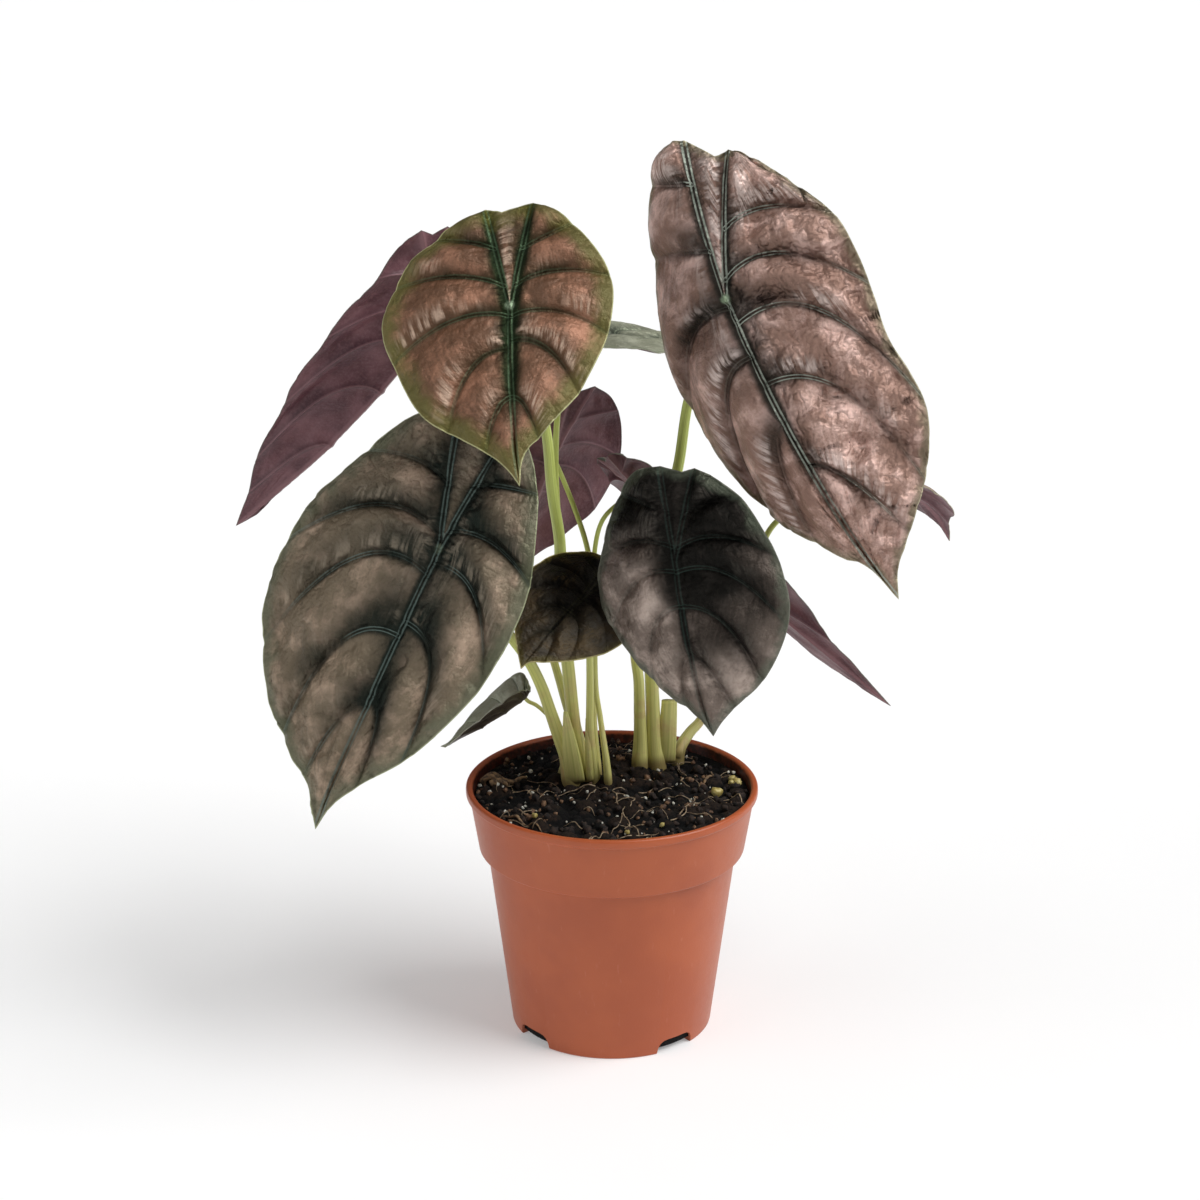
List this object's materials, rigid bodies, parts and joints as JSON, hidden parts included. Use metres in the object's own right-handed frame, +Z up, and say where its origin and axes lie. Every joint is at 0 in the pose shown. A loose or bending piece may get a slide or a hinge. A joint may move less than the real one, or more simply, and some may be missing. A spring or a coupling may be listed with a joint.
{
  "type": "potted red secret alocasia",
  "caption": "House plant with quilted copper arrow-shaped leaves on upright stalks, standing in soil in a round plastic nursery pot with a collar.",
  "frame": {"origin": "centre of the pot's base, on the surface it stands on", "axes": "+Z up along the pot's axis, -Y towards the front of the plant, +X to its right"},
  "size_m": [0.305, 0.1691, 0.3668],
  "materials": {
    "pot": "satin orange-brown plastic",
    "soil": "rough dark potting mix with white grains",
    "blade": "satin copper with dark green veins",
    "blade_dark": "satin dark copper",
    "blade_underside": "satin, purple below",
    "petiole": "smooth pale green"
  },
  "bodies": {
    "root": {"pot": "pot", "soil": "soil", "blade_upper_left": "blade", "blade_upper_right": "blade", "blade_lower_left": "blade", "blade_lower_right": "blade_dark", "blade_small_front": "blade_dark", "blade_back_left": "blade_underside", "blade_back_middle": "blade_underside", "blade_back_low_right": "blade_underside", "blade_back_right": "blade_underside", "blade_back_level": "blade", "blade_small_low": "blade_dark", "petiole_upper_left": "petiole", "petiole_upper_right": "petiole", "petiole_lower_left": "petiole", "petiole_lower_right": "petiole", "petiole_small_front": "petiole", "petiole_back_left": "petiole", "petiole_back_middle": "petiole", "petiole_back_low_right": "petiole", "petiole_back_right": "petiole", "petiole_back_level": "petiole", "petiole_small_low": "petiole"}
  },
  "joints": []
}
